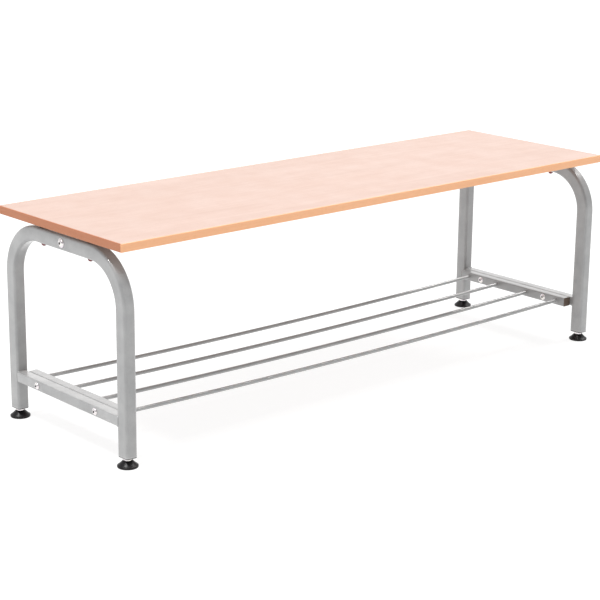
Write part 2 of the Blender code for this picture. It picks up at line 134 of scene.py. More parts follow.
# ---- material helpers ---------------------------------------------------------------------------------
class Nodes:
    """Short names for building one material's node tree."""

    def __init__(self, name):
        self.material = bpy.data.materials.new(name)
        self.material.use_nodes = True
        self.tree = self.material.node_tree
        self.shader = self.tree.nodes["Principled BSDF"]
        self.coords = self.tree.nodes.new("ShaderNodeTexCoord").outputs["Object"]

    def node(self, kind, inputs=None, **settings):
        made = self.tree.nodes.new(kind)
        for key, value in settings.items():
            setattr(made, key, value)
        for key, value in (inputs or {}).items():
            if isinstance(value, bpy.types.NodeSocket):
                self.tree.links.new(value, made.inputs[key])
            else:
                made.inputs[key].default_value = value
        return made

    def stretched(self, scale):
        """Object coordinates multiplied by a scale for each axis, in cycles per metre."""
        return self.node("ShaderNodeMapping", {"Vector": self.coords, "Scale": scale}).outputs["Vector"]

    def noise(self, scale, detail=4.0, roughness=0.55, distortion=0.0):
        """Noise from 0 to 1 whose cells are 1/scale metres along each axis."""
        inputs = {
            "Vector": self.stretched(scale),
            "Scale": 1.0,
            "Detail": detail,
            "Roughness": roughness,
            "Distortion": distortion,
        }
        return self.node("ShaderNodeTexNoise", inputs).outputs["Fac"]

    def ramp(self, value, low, high, start=0.35, end=0.65):
        """A value mapped from start..end to low..high."""
        inputs = {"Value": value, "From Min": start, "From Max": end, "To Min": low, "To Max": high}
        return self.node("ShaderNodeMapRange", inputs).outputs["Result"]

    def mix(self, factor, first, second):
        """A colour from first to second."""
        return self.node("ShaderNodeMix", {0: factor, 6: first, 7: second}, data_type="RGBA").outputs[2]

    def add(self, first, second, operation="ADD"):
        return self.node("ShaderNodeMath", {0: first, 1: second}, operation=operation).outputs[0]

    def bump(self, height, distance, strength):
        inputs = {"Height": height, "Distance": distance, "Strength": strength}
        return self.node("ShaderNodeBump", inputs).outputs["Normal"]

    def finish(self, colour, roughness, normal=None, **constants):
        """Feeds the shader and gives back the material. Constants are shader inputs, with _ for a space."""
        self.tree.links.new(colour, self.shader.inputs["Base Color"])
        if normal is not None:
            self.tree.links.new(normal, self.shader.inputs["Normal"])
        if isinstance(roughness, bpy.types.NodeSocket):
            self.tree.links.new(roughness, self.shader.inputs["Roughness"])
        else:
            self.shader.inputs["Roughness"].default_value = roughness
        for key, value in constants.items():
            self.shader.inputs[key.replace("_", " ")].default_value = value
        return self.material


def rgb(red, green, blue):
    return (red, green, blue, 1.0)


def along(axis, length_scale, width_scale):
    """Scale with few cycles along the named axis and many across it."""
    return tuple(length_scale if name == axis else width_scale for name in "XYZ")


def beech(name, axis, light, dark, fleck, roughness):
    """Printed beech: broad soft figure, fine streaks and short dark flecks along the grain."""
    n = Nodes(name)
    figure = n.noise(along(axis, 2.2, 26), detail=3.0, distortion=0.6)
    streaks = n.noise(along(axis, 9, 420), detail=5.0, roughness=0.65)
    flecks = n.noise(along(axis, 110, 1300), detail=2.0, roughness=0.4)
    tone = n.add(n.ramp(figure, 0.0, 0.55), n.ramp(streaks, 0.0, 0.45))
    colour = n.mix(tone, light, dark)
    colour = n.mix(n.ramp(flecks, 0.0, 0.55, 0.60, 0.72), colour, fleck)
    wear = n.noise((14, 14, 14), detail=6.0)
    rough = n.add(n.ramp(wear, roughness - 0.05, roughness + 0.05), n.ramp(streaks, -0.03, 0.03))
    pores = n.bump(n.add(streaks, n.ramp(flecks, 0.0, -0.8, 0.6, 0.75)), 0.03 * MM, 0.5)
    return n.finish(colour, rough, pores)


PAINT_DARK = rgb(0.288, 0.290, 0.292)
PAINT_LIGHT = rgb(0.352, 0.353, 0.353)
PAINT_SPECK = rgb(0.62, 0.62, 0.62)
# the next colour is a painted highlight for the convex corners, not a paint of its own
PAINT_EDGE_HIGHLIGHT = rgb(0.66, 0.66, 0.66)
PAINT_ROUGHNESS = 0.34
DUST = rgb(0.30, 0.28, 0.26)


def powder_coat():
    """Grey satin powder coat with orange peel, a little cloudiness and a painted highlight: paler colour on
    the convex corners.
    """
    n = Nodes("grey_powder_coat")
    cloud = n.noise((22, 22, 22), detail=5.0, roughness=0.65)
    speck = n.noise((1500, 1500, 1500), detail=2.0)
    colour = n.mix(n.ramp(cloud, 0.0, 1.0, 0.36, 0.64), PAINT_DARK, PAINT_LIGHT)
    colour = n.mix(n.ramp(speck, 0.0, 0.10, 0.58, 0.70), colour, PAINT_SPECK)
    # painted highlight: convex corners, found by pointiness, get a pale colour, patchy with the cloud, that
    # stands for light along the edges
    edge = n.node("ShaderNodeNewGeometry").outputs["Pointiness"]
    edge_highlight = n.add(n.ramp(edge, 0.0, 0.25, 0.52, 0.60), n.ramp(cloud, 0.3, 1.0), "MULTIPLY")
    colour = n.mix(edge_highlight, colour, PAINT_EDGE_HIGHLIGHT)
    rough = n.ramp(n.noise((30, 30, 30), detail=6.0), PAINT_ROUGHNESS - 0.04, PAINT_ROUGHNESS + 0.05)
    peel = n.bump(n.noise((650, 650, 650), detail=1.5), 0.020 * MM, 0.45)
    return n.finish(colour, rough, peel, Coat_Weight=0.9, Coat_Roughness=0.12)


def zinc():
    """Bright zinc plate with a faint lilac and straw passivation and fine turning marks."""
    n = Nodes("zinc_plate")
    tint = n.noise((180, 180, 180), detail=3.0)
    colour = n.mix(n.ramp(tint, 0.0, 1.0), rgb(0.86, 0.80, 0.86), rgb(0.88, 0.85, 0.80))
    scratch = n.noise((600, 2600, 2600), detail=3.0)
    rough = n.ramp(scratch, 0.20, 0.34)
    marks = n.bump(scratch, 0.010 * MM, 0.4)
    return n.finish(colour, rough, marks, Metallic=1.0)


def moulded(name, colour, pale, roughness, dusty, gloss=0.5):
    """Moulded plastic: fine grain, paler scuffs and dust on the lowest few millimetres above the floor."""
    n = Nodes(name)
    grain = n.noise((2400, 2400, 2400), detail=2.0)
    scuff = n.noise((120, 120, 120), detail=6.0, roughness=0.7)
    height = n.node("ShaderNodeSeparateXYZ", {"Vector": n.coords}).outputs["Z"]
    low = n.ramp(height, dusty, 0.0, 0.0, 5 * MM)
    dust = n.add(low, n.ramp(scuff, 0.1, 1.0), "MULTIPLY")
    base = n.mix(n.ramp(scuff, 0.0, 0.12, 0.55, 0.70), colour, pale)
    base = n.mix(dust, base, DUST)
    rough = n.add(n.ramp(scuff, roughness - 0.04, roughness + 0.08), n.add(dust, 0.4, "MULTIPLY"))
    return n.finish(base, rough, n.bump(grain, 0.010 * MM, 0.35), Specular_IOR_Level=gloss)


def dark_screw():
    """Oiled dark steel with a warm brown-red tint."""
    n = Nodes("dark_screw_steel")
    tint = n.noise((260, 260, 260), detail=4.0)
    colour = n.mix(n.ramp(tint, 0.0, 1.0), rgb(0.16, 0.035, 0.05), rgb(0.24, 0.09, 0.08))
    rough = n.ramp(n.noise((900, 900, 900)), 0.30, 0.45)
    return n.finish(colour, rough, n.bump(tint, 0.01 * MM, 0.4), Metallic=0.7)


TOP = beech(
    "board_laminate", "X", rgb(0.515, 0.360, 0.300), rgb(0.470, 0.317, 0.257), rgb(0.405, 0.255, 0.200), 0.36
)
LONG_BAND = beech(
    "edge_band_long", "X", rgb(0.93, 0.50, 0.27), rgb(0.88, 0.44, 0.22), rgb(0.78, 0.34, 0.16), 0.42
)
SHORT_BAND = beech(
    "edge_band_short", "Y", rgb(0.50, 0.190, 0.088), rgb(0.43, 0.153, 0.067), rgb(0.34, 0.111, 0.046), 0.45
)
PAINT = powder_coat()
ZINC = zinc()
BLACK = moulded(
    "black_plastic", rgb(0.006, 0.005, 0.006), rgb(0.016, 0.012, 0.015), 0.36, 0.10, gloss=0.20
)
NYLON = moulded("black_nylon", rgb(0.020, 0.020, 0.020), rgb(0.05, 0.05, 0.05), 0.45, 0.0)
BROWN = moulded("brown_plastic", rgb(0.125, 0.090, 0.068), rgb(0.20, 0.15, 0.12), 0.45, 0.0)
SCREW = dark_screw()
# painted shade: the near-black colour for the faces inside the hex sockets stands for the shade in them
SOCKET_SHADE = moulded("zinc_socket_painted_shade", rgb(0.05, 0.045, 0.06), rgb(0.10, 0.09, 0.11), 0.5, 0.0)


# ---- mesh helpers -------------------------------------------------------------------------------------
def rounded_outline(width, height, radius, steps=CORNER_STEPS):
    """Anticlockwise rectangle with round corners."""
    points = []
    for sx, sy, start in ((1, 1, 0), (-1, 1, 90), (-1, -1, 180), (1, -1, 270)):
        for step in range(steps + 1):
            angle = math.radians(start + 90 * step / steps)
            x = sx * (width / 2 - radius) + radius * math.cos(angle)
            y = sy * (height / 2 - radius) + radius * math.sin(angle)
            points.append((x, y))
    return points


def regular_outline(sides, flats):
    """Regular polygon with a flat side towards +X."""
    turn = math.pi / sides
    radius = flats / 2 / math.cos(turn)
    angles = [turn + 2 * math.pi * i / sides for i in range(sides)]
    return [(radius * math.cos(angle), radius * math.sin(angle)) for angle in angles]


def loft(rings, closed=False):
    """Skin over rings of equal length. A closed one joins its last ring to its first."""
    bm = bmesh.new()
    rows = [[bm.verts.new(point) for point in ring] for ring in rings]
    count = len(rows[0])
    pairs = list(zip(rows, rows[1:]))
    if closed:
        pairs.append((rows[-1], rows[0]))
    for first, second in pairs:
        for i in range(count):
            j = (i + 1) % count
            bm.faces.new((first[i], first[j], second[j], second[i]))
    if not closed:
        bm.faces.new(rows[0])
        bm.faces.new(rows[-1])
    bmesh.ops.recalc_face_normals(bm, faces=bm.faces)
    return bm


def turned(profile, steps=ROUND_STEPS, closed=False, ripple=None):
    """Solid of revolution about Z from (radius, height) pairs. A zero radius makes a pole.
    ripple(angle) is added to each radius that is not zero."""
    bm = bmesh.new()
    angles = [2 * math.pi * i / steps for i in range(steps)]
    rows = []
    for radius, height in profile:
        if radius == 0:
            rows.append([bm.verts.new((0, 0, height))])
            continue
        row = []
        for angle in angles:
            reach = radius + (ripple(angle) if ripple else 0.0)
            row.append(bm.verts.new((reach * math.cos(angle), reach * math.sin(angle), height)))
        rows.append(row)
    pairs = list(zip(rows, rows[1:]))
    if closed:
        pairs.append((rows[-1], rows[0]))
    for first, second in pairs:
        for i in range(steps):
            j = (i + 1) % steps
            below = [first[k % len(first)] for k in (i, j)]
            above = [second[k % len(second)] for k in (j, i)]
            bm.faces.new(list(dict.fromkeys(below + above)))
    bmesh.ops.recalc_face_normals(bm, faces=bm.faces)
    return bm


def arc(centre, radius, start, end, steps):
    """Points of an arc in the (radius, height) plane, angles in degrees."""
    points = []
    for step in range(steps + 1):
        angle = math.radians(start + (end - start) * step / steps)
        points.append((centre[0] + radius * math.cos(angle), centre[1] + radius * math.sin(angle)))
    return points


def cylinder_cutter(radius, length, centre, axis, sides=32):
    bm = bmesh.new()
    bmesh.ops.create_cone(bm, cap_ends=True, segments=sides, radius1=radius, radius2=radius, depth=length)
    turn = axis.to_track_quat("Z", "Y").to_matrix().to_4x4()
    bm.transform(Matrix.Translation(centre) @ turn)
    return bm


def mesh_object(name, bm):
    mesh = bpy.data.meshes.new(name)
    bm.to_mesh(mesh)
    bm.free()
    item = bpy.data.objects.new(name, mesh)
    bpy.context.scene.collection.objects.link(item)
    return item


def combined(item, tools, operation):
    """The item after a Boolean with each tool. The tools are used up."""
    for bm in tools:
        tool = mesh_object("tool", bm)
        modifier = item.modifiers.new("cut", "BOOLEAN")
        modifier.operation = operation
        modifier.solver = "EXACT"
        modifier.object = tool
        graph = bpy.context.evaluated_depsgraph_get()
        result = bpy.data.meshes.new_from_object(item.evaluated_get(graph))
        item.modifiers.clear()
        item.data = result
        bpy.data.objects.remove(tool)


def piece(name, bm, material, node, body="bench", holes=(), at=None, sharp=32, joined=()):
    """One finished piece that stands for a CAD node, or goes with it when node is None."""
    if at is not None:
        bm.transform(at)
    item = mesh_object(name, bm)
    combined(item, joined, "UNION")
    combined(item, holes, "DIFFERENCE")
    item.data.materials.clear()
    item.data.materials.append(material)
    item.data.shade_smooth()
    item.data.set_sharp_from_angle(angle=math.radians(sharp))
    weighted = item.modifiers.new("flat_faces", "WEIGHTED_NORMAL")
    weighted.keep_sharp = True
    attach(item, body)
    if node is not None:
        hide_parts(node)
    return item


def middle(node):
    low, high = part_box(node)
    return (low + high) / 2


def extent(node):
    low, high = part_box(node)
    return high - low


def placed(point, rotation=(0, 0, 0)):
    """Matrix that turns by the Euler angles and then moves to the point."""
    return Matrix.Translation(point) @ Euler(rotation).to_matrix().to_4x4()


# ---- seat ---------------------------------------------------------------------------------------------
SCREW_LABELS = [f"{side}_{end}" for side, _ in SIDES for end, _ in ENDS] + ["beam_left", "beam_right"]


def build_board():
    left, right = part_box("edge_band_left")[1].x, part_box("edge_band_right")[0].x
    front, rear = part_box("edge_band_front")[1].y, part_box("edge_band_rear")[0].y
    low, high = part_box("seat_board")
    width, depth = right - left - 2 * SEAM, rear - front - 2 * SEAM
    rings = []
    for z, inset in (
        (low.z, BOARD_EDGE),
        (low.z + BOARD_EDGE, 0.0),
        (high.z - BOARD_EDGE, 0.0),
        (high.z, BOARD_EDGE),
    ):
        outline = rounded_outline(width - 2 * inset, depth - 2 * inset, BOARD_CORNER, 2)
        rings.append([(x + (left + right) / 2, y + (front + rear) / 2, z) for x, y in outline])
    holes = []
    for label in SCREW_LABELS:
        screw_low, screw_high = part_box(f"board_screw_{label}")
        centre = (screw_low + screw_high) / 2
        depth_in = screw_high.z - low.z + SCREW_HOLE_SPARE
        place = Vector((centre.x, centre.y, low.z))
        holes.append(cylinder_cutter(SCREW_HOLE, 2 * depth_in, place, Z_AXIS))
    piece("laminated_board", loft(rings), TOP, "seat_board", holes=holes)


def build_band(name, sign, axis, material):
    """Edge band whose outside edges are rounded over. axis is across the band."""
    low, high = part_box(f"edge_band_{name}")
    bm = bmesh.new()
    bmesh.ops.create_cube(bm, size=1.0)
    bm.transform(Matrix.Translation((low + high) / 2) @ Matrix.Diagonal((*(high - low), 1.0)))
    outside = (high if sign > 0 else low)[axis]
    edges = [e for e in bm.edges if all(abs(v.co[axis] - outside) < SEAM for v in e.verts)]
    if axis == 0:
        edges = [e for e in edges if abs(e.verts[0].co.z - e.verts[1].co.z) < SEAM]
    bmesh.ops.bevel(bm, geom=edges, offset=BAND_RADIUS, segments=BAND_STEPS, profile=0.5, affect="EDGES")
    piece(f"edging_{name}", bm, material, f"edge_band_{name}", sharp=50)


def build_seat():
    build_board()
    for name, sign in ENDS:
        build_band(name, sign, 1, LONG_BAND)
    for name, sign in SIDES:
        build_band(name, sign, 0, SHORT_BAND)


# ---- tubes --------------------------------------------------------------------------------------------
def hollow(stations, width, height, radius, dish=None):
    """Open-ended tube through the stations: each is a centre and the directions of width and height.
    dish gives, for each station, how far the wall on the low side of the height is drawn in."""
    shells = []
    for inset in (0.0, TUBE_WALL):
        outline = rounded_outline(width - 2 * inset, height - 2 * inset, radius - inset)
        rings = []
        for index, (centre, across, up) in enumerate(stations):
            drawn = dish[index] if dish else 0.0
            ring = []
            for u, v in outline:
                if v < 0 and drawn:
                    v += drawn * max(0.0, math.cos(math.pi * u / width)) ** 2
                ring.append(centre + across * u + up * v)
            rings.append(ring)
        shells.append(rings)
    return loft(shells[0] + shells[1][::-1], closed=True)


def straight(centre, axis, length, across, up):
    """Stations of a straight tube, with close ones near its ends so that the ends look crisp."""
    marks = (-0.5, -0.49, -0.25, 0.0, 0.25, 0.49, 0.5)
    return [(centre + axis * (length * mark), across, up) for mark in marks]


def frame_stations(node):
    """From one leg's foot up, over the rail and down to the other's: the tube's centre line."""
    low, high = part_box(node)
    centre = (low + high) / 2
    tube_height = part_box("seat_beam")[1].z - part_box("seat_beam")[0].z
    leg_y = high.y - tube_height / 2
    rail_z = high.z - tube_height / 2
    bend_y, bend_z = leg_y - BEND_RADIUS, rail_z - BEND_RADIUS
    stations = []
    dish = []
    for share in (0.0, 0.02, 0.3, 0.6, 0.9):
        z = low.z + (bend_z - low.z) * share
        stations.append((Vector((centre.x, -leg_y, z)), X_AXIS, -Y_AXIS))
        dish.append(0.0)
    for side, start in ((-1, 180), (1, 90)):
        for step in range(BEND_STEPS + 1):
            angle = math.radians(start - 90 * step / BEND_STEPS)
            outward = Vector((0, math.cos(angle), math.sin(angle)))
            hub = Vector((centre.x, side * bend_y, bend_z))
            stations.append((hub + outward * BEND_RADIUS, X_AXIS, outward))
            dish.append(BEND_DISH * math.sin(math.pi * step / BEND_STEPS) ** 2)
    for share in (0.9, 0.6, 0.3, 0.02, 0.0):
        z = low.z + (bend_z - low.z) * share
        stations.append((Vector((centre.x, leg_y, z)), X_AXIS, Y_AXIS))
        dish.append(0.0)
    return stations, dish


def leg_cutter(centre, frame_size, tube_height):
    """Rounded prism a little larger than a leg, which saddles the end of its crossbar."""
    width, depth = frame_size.x + 2 * COPE_GAP, tube_height + 2 * COPE_GAP
    outline = rounded_outline(width, depth, FRAME_TUBE_CORNER + COPE_GAP)
    heights = (-COPE_HALF_HEIGHT, COPE_HALF_HEIGHT)
    return loft([[centre + Vector((u, v, z)) for u, v in outline] for z in heights])


def leg_reach(offset, across, depth):
    """Distance from a leg's centre to its surface along Y, at an offset from its centre along X."""
    beyond = max(0.0, abs(offset) - (across / 2 - FRAME_TUBE_CORNER))
    beyond = min(beyond, FRAME_TUBE_CORNER)
    drop = FRAME_TUBE_CORNER - math.sqrt(FRAME_TUBE_CORNER**2 - beyond**2)
    return depth / 2 - drop


def saddle_weld(centre, size, leg, sy, across, depth):
    """Rippled bead that follows the crossbar's outline over the rounded face of the leg."""
    outline = rounded_outline(size.x - 0.8 * MM, size.z, SMALL_TUBE_CORNER)
    points = []
    for u, v in outline:
        x = centre.x + u
        y = leg.y - sy * leg_reach(x - leg.x, across, depth)
        points.append(Vector((x, y, centre.z + v)))
    filled = []
    for first, second in zip(points, points[1:] + points[:1]):
        parts = max(1, round((second - first).length / (2 * MM)))
        for part in range(parts):
            point = first.lerp(second, part / parts)
            point.y = leg.y - sy * leg_reach(point.x - leg.x, across, depth)
            filled.append(point)
    lengths = [0.0]
    for first, second in zip(filled, filled[1:] + filled[:1]):
        lengths.append(lengths[-1] + (second - first).length)
    total = lengths[-1]
    steps = RIPPLE_STEPS * round(total / WELD_PITCH)
    rings = []
    for step in range(steps):
        target = total * step / steps
        index = max(i for i in range(len(filled)) if lengths[i] <= target)
        here, there = filled[index], filled[(index + 1) % len(filled)]
        share = (target - lengths[index]) / max(lengths[index + 1] - lengths[index], 1e-9)
        point = here.lerp(there, share)
        outward = (point - centre) * Vector((1, 0, 1))
        outward.normalize()
        swell = math.sin(math.pi * (step % RIPPLE_STEPS) / RIPPLE_STEPS)
        radius = WELD_RADIUS * (0.85 + 0.22 * swell + 0.05 * math.sin(step * 1.7))
        ring = []
        for turn in range(WELD_SIDES):
            angle = 2 * math.pi * turn / WELD_SIDES
            ring.append(point + outward * (radius * math.cos(angle)) + Y_AXIS * (radius * math.sin(angle)))
        rings.append(ring)
    return loft(rings, closed=True)


def build_end_frame(side):
    """Bent tube with the crossbar that is saddled and welded between its legs."""
    node = f"{side}_frame_tube"
    size = frame_size = extent(node)
    tube_height = extent("seat_beam").z
    rail = Vector((middle(node).x, 0, middle("seat_beam").z))
    holes = [cylinder_cutter(RAIL_BOLT_HOLE, 2 * size.x, rail, X_AXIS)]
    for end, _ in ENDS:
        screw = middle(f"board_screw_{side}_{end}")
        place = Vector((screw.x, screw.y, rail.z))
        holes.append(cylinder_cutter(SCREW_HOLE, 2 * tube_height, place, Z_AXIS))
    stations, dish = frame_stations(node)
    bm = hollow(stations, size.x, tube_height, FRAME_TUBE_CORNER, dish)
    piece(f"bent_tube_{side}", bm, PAINT, node, holes=holes)

    node = f"{side}_crossbar"
    size, centre = extent(node), middle(node)
    holes = []
    for end, _ in ENDS:
        bolt = middle(f"rack_bolt_{side}_{end}")
        place = Vector((centre.x, bolt.y, centre.z))
        holes.append(cylinder_cutter(RACK_BOLT_HOLE, 2 * size.x, place, X_AXIS))
    for end, _ in ENDS:
        leg = middle(f"leg_insert_{side}_{end}")
        holes.append(leg_cutter(Vector((leg.x, leg.y, centre.z)), frame_size, tube_height))
    length = size.y + 2 * FRAME_TUBE_CORNER
    bm = hollow(straight(centre, Y_AXIS, length, X_AXIS, Z_AXIS), size.x, size.z, SMALL_TUBE_CORNER)
    piece(f"crossbar_{side}", bm, PAINT, node, holes=holes)
    for end, sy in ENDS:
        leg = middle(f"leg_insert_{side}_{end}")
        bead = saddle_weld(centre, size, leg, sy, frame_size.x, tube_height)
        piece(f"crossbar_weld_{side}_{end}", bead, PAINT, None, sharp=WELD_SHARP)


def build_beam():
    """Tube under the board with a threaded block in each end for the rail bolts."""
    node = "seat_beam"
    size, centre = extent(node), middle(node)
    holes = []
    for side, _ in SIDES:
        screw = middle(f"board_screw_beam_{side}")
        place = Vector((screw.x, screw.y, centre.z))
        holes.append(cylinder_cutter(SCREW_HOLE, 2 * size.z, place, Z_AXIS))
    bm = hollow(straight(centre, X_AXIS, size.x, Y_AXIS, Z_AXIS), size.y, size.z, SMALL_TUBE_CORNER)
    piece("stiffening_beam", bm, PAINT, node, holes=holes)
    for side, _ in SIDES:
        node = f"beam_nut_{side}"
        size, centre = extent(node), middle(node)
        rings = []
        for x, inset in ((-0.5, 0.8 * MM), (-0.47, 0.0), (0.47, 0.0), (0.5, 0.8 * MM)):
            outline = rounded_outline(size.y - inset, size.z - inset, 1.5 * MM, 3)
            rings.append([centre + Vector((x * size.x, u, v)) for u, v in outline])
        holes = [cylinder_cutter(RAIL_BOLT_HOLE, 2 * size.x, centre, X_AXIS)]
        piece(f"beam_nut_block_{side}", loft(rings), ZINC, node, holes=holes)


# ---- rack ---------------------------------------------------------------------------------------------
def build_rack_tube(side, sx):
    node = f"rack_tube_{side}"
    size, centre = extent(node), middle(node)
    inner_x = centre.x - sx * size.x / 2
    outer_x = centre.x + sx * size.x / 2
    holes = []
    for end, _ in ENDS:
        y = middle(f"rack_bolt_{side}_{end}").y
        holes.append(cylinder_cutter(RACK_BOLT_HOLE, size.x / 2, Vector((outer_x, y, centre.z)), X_AXIS))
        holes.append(cylinder_cutter(RACK_SLEEVE_HOLE, size.x / 2, Vector((inner_x, y, centre.z)), X_AXIS))
    bm = hollow(straight(centre, Y_AXIS, size.y, X_AXIS, Z_AXIS), size.x, size.z, SMALL_TUBE_CORNER)
    piece(f"rack_rail_{side}", bm, PAINT, node, holes=holes)


def build_plug(side, end, sy):
    """Push-in end plug: ribbed shank and a flange with a domed face."""
    node = f"rack_plug_{side}_{end}"
    size, centre = extent(node), middle(node)
    low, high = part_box(node)
    tube_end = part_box(f"rack_tube_{side}")[0 if sy < 0 else 1].y
    tip = low.y if sy < 0 else high.y
    flange = abs(tip - tube_end)
    inside = abs((high.y if sy < 0 else low.y) - tube_end)
    shank = size.x - 2 * TUBE_WALL
    sections = [(-inside, shank - 1.6 * MM)]
    for rib in range(PLUG_RIBS):
        start = -inside + inside * (rib + 0.3) / (PLUG_RIBS + 0.5)
        sections += [(start, shank - 1.2 * MM), (start + 0.4 * MM, shank)]
        sections.append((start + 1.4 * MM, shank - 0.8 * MM))
    sections += [(0.1 * MM, shank - 0.8 * MM), (0.1 * MM, size.x - 0.4 * MM), (0.5 * MM, size.x)]
    for share, inset in ((0.6, 0.0), (0.8, 0.5 * MM), (0.93, 1.4 * MM), (1.0, 3.2 * MM)):
        sections.append((flange * share, size.x - 2 * inset))
    rings = []
    for height, width in sections:
        outline = rounded_outline(width, width, min(SMALL_TUBE_CORNER, width / 4))
        y = tube_end + sy * height
        rings.append([Vector((centre.x + u, y, centre.z + v)) for u, v in outline])
    piece(f"end_plug_{side}_{end}", loft(rings), BROWN, node)


def build_rod(number):
    """Rod that hangs a little below its two welded ends."""
    node = f"rack_rod_{number}"
    size, centre = extent(node), middle(node)
    radius, half = size.y / 2, size.x / 2
    end_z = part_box(node)[1].z - radius
    sag = size.z - 2 * radius
    rings = []
    for station in range(ROD_STATIONS + 1):
        share = 2 * station / ROD_STATIONS - 1
        z = end_z - sag * (1 - share * share)
        ring = []
        for step in range(ROD_SIDES):
            angle = 2 * math.pi * step / ROD_SIDES
            y = centre.y + radius * math.cos(angle)
            ring.append(Vector((centre.x + share * half, y, z + radius * math.sin(angle))))
        rings.append(ring)
    piece(f"rod_{number}", loft(rings), PAINT, node)
    for side, sx in SIDES:
        inner_x = middle(f"rack_tube_{side}").x - sx * extent(f"rack_tube_{side}").x / 2
        ring = arc((radius + 0.3 * MM, 0), ROD_WELD_RADIUS, 0, 360, 9)[:-1]

        def ripple(angle, seed=number * 1.3):
            return 0.22 * MM * math.sin(7 * angle + seed) + 0.12 * MM * math.sin(3 * angle - seed)

        bead = turned(ring, ROD_WELD_STEPS, closed=True, ripple=ripple)
        place = placed((inner_x, centre.y, end_z), (0, math.pi / 2, 0))
        name = f"rod_weld_{number}_{side}"
        piece(name, bead, PAINT, None, at=place, sharp=WELD_SHARP)


def build_rack():
    for side, sx in SIDES:
        build_rack_tube(side, sx)
        for end, sy in ENDS:
            build_plug(side, end, sy)
    for number in range(1, ROD_COUNT + 1):
        build_rod(number)


# ---- fasteners ----------------------------------------------------------------------------------------
def hex_cutter(flats, depth, top):
    """Six-sided pocket that runs down from the top, with a drilled cone at its bottom."""
    rings = []
    for height, scale in ((top + depth, 1.0), (top - depth, 1.0), (top - depth * 1.25, 0.25)):
        rings.append([Vector((x * scale, y * scale, height)) for x, y in regular_outline(6, flats)])
    return loft(rings)


def paint_socket_shade(item, place, flats, floor):
    """Gives the faces inside a hex socket a painted shade: a near-black colour that stands for the shade
    deep in the socket.
    """
    item.data.materials.append(SOCKET_SHADE)
    inside = place.inverted()
    for face in item.data.polygons:
        spot = inside @ face.center
        if math.hypot(spot.x, spot.y) < flats * 0.57 and spot.z > floor:
            face.material_index = 1


def button_head(kind):
    """Profile from the pole of a low domed head down to the bearing face of its flat collar, at height 0."""
    crown = arc((0, 0), 1.0, 90, 8, 9)
    dome = [(kind.head * c, COLLAR_HEIGHT + (kind.height - COLLAR_HEIGHT) * s) for c, s in crown]
    dome[0] = (0, kind.height)
    skirt = [
        (kind.head, COLLAR_HEIGHT + HEAD_EDGE),
        (kind.head + HEAD_EDGE, COLLAR_HEIGHT),
        (kind.collar - COLLAR_EDGE, COLLAR_HEIGHT),
        (kind.collar, COLLAR_HEIGHT - COLLAR_EDGE),
        (kind.collar, HEAD_EDGE),
        (kind.collar - HEAD_EDGE, 0.0),
    ]
    return dome + skirt


def threaded(bm, radius, depth, start, end, pitch):
    """Draws the vertices of a cylinder's side between two heights in and out as a right-hand thread."""
    for vert in bm.verts:
        reach = math.hypot(vert.co.x, vert.co.y)
        if abs(reach - radius) > 1e-6 or not start < vert.co.z < end:
            continue
        turn = math.atan2(vert.co.y, vert.co.x) / (2 * math.pi)
        phase = (vert.co.z / pitch - turn) % 1.0
        fade = min(1.0, (end - vert.co.z) / pitch, (vert.co.z - start) / pitch)
        drop = depth * fade * abs(2 * phase - 1)
        vert.co.x *= (reach - drop) / reach
        vert.co.y *= (reach - drop) / reach


def rows_between(radius, start, end, step):
    """Evenly spaced (radius, height) pairs from start to end."""
    count = max(1, round(abs(end - start) / step))
    return [(radius, start + (end - start) * i / count) for i in range(count + 1)]


def headed(name, node, kind, bm, facing):
    """Sets a button-headed fastener in its node's box, its head towards facing, and cuts its hex socket."""
    low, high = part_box(node)
    centre = middle(node)
    seat_x = (low.x if facing < 0 else high.x) - facing * kind.height
    place = placed((seat_x, centre.y, centre.z), (0, facing * math.pi / 2, 0))
    pocket = hex_cutter(kind.flats, kind.height * SOCKET_DEPTH, kind.height)
    pocket.transform(place)
    item = piece(name, bm, ZINC, node, holes=[pocket], at=place)
    paint_socket_shade(item, place, kind.flats, SOCKET_FLOOR)


def button_bolt(name, node, kind, facing):
    """Bolt whose shank is threaded on the far part of its length."""
    length = extent(node).x - kind.height
    profile = button_head(kind)
    profile += [(kind.shank + SHANK_FILLET, 0.0), (kind.shank, -2 * SHANK_FILLET)]
    profile += rows_between(kind.shank, -4 * SHANK_FILLET, -length + THREAD_RUNOUT, kind.pitch / 4)
    profile += [(kind.shank - SHANK_TIP, -length), (0, -length)]
    bm = turned(profile)
    thread_start = -length + THREAD_RUNOUT
    threaded(bm, kind.shank, THREAD_DEPTH, thread_start, -length * PLAIN_SHANK, kind.pitch)
    headed(name, node, kind, bm, facing)


def sleeve_nut(name, node, kind, facing):
    """Nut with a bolt's head and a bored sleeve."""
    length = extent(node).x - kind.height
    sleeve, bore, edge = SLEEVE_RADIUS, SLEEVE_BORE, SLEEVE_EDGE
    profile = button_head(kind)
    profile += [(sleeve + SHANK_FILLET, 0.0), (sleeve, -edge), (sleeve, -length + edge)]
    profile += [(sleeve - edge, -length), (bore + edge, -length), (bore, -length + edge)]
    profile += [(bore, -COLLAR_HEIGHT - SHANK_FILLET), (0, -COLLAR_HEIGHT)]
    headed(name, node, kind, turned(profile), facing)


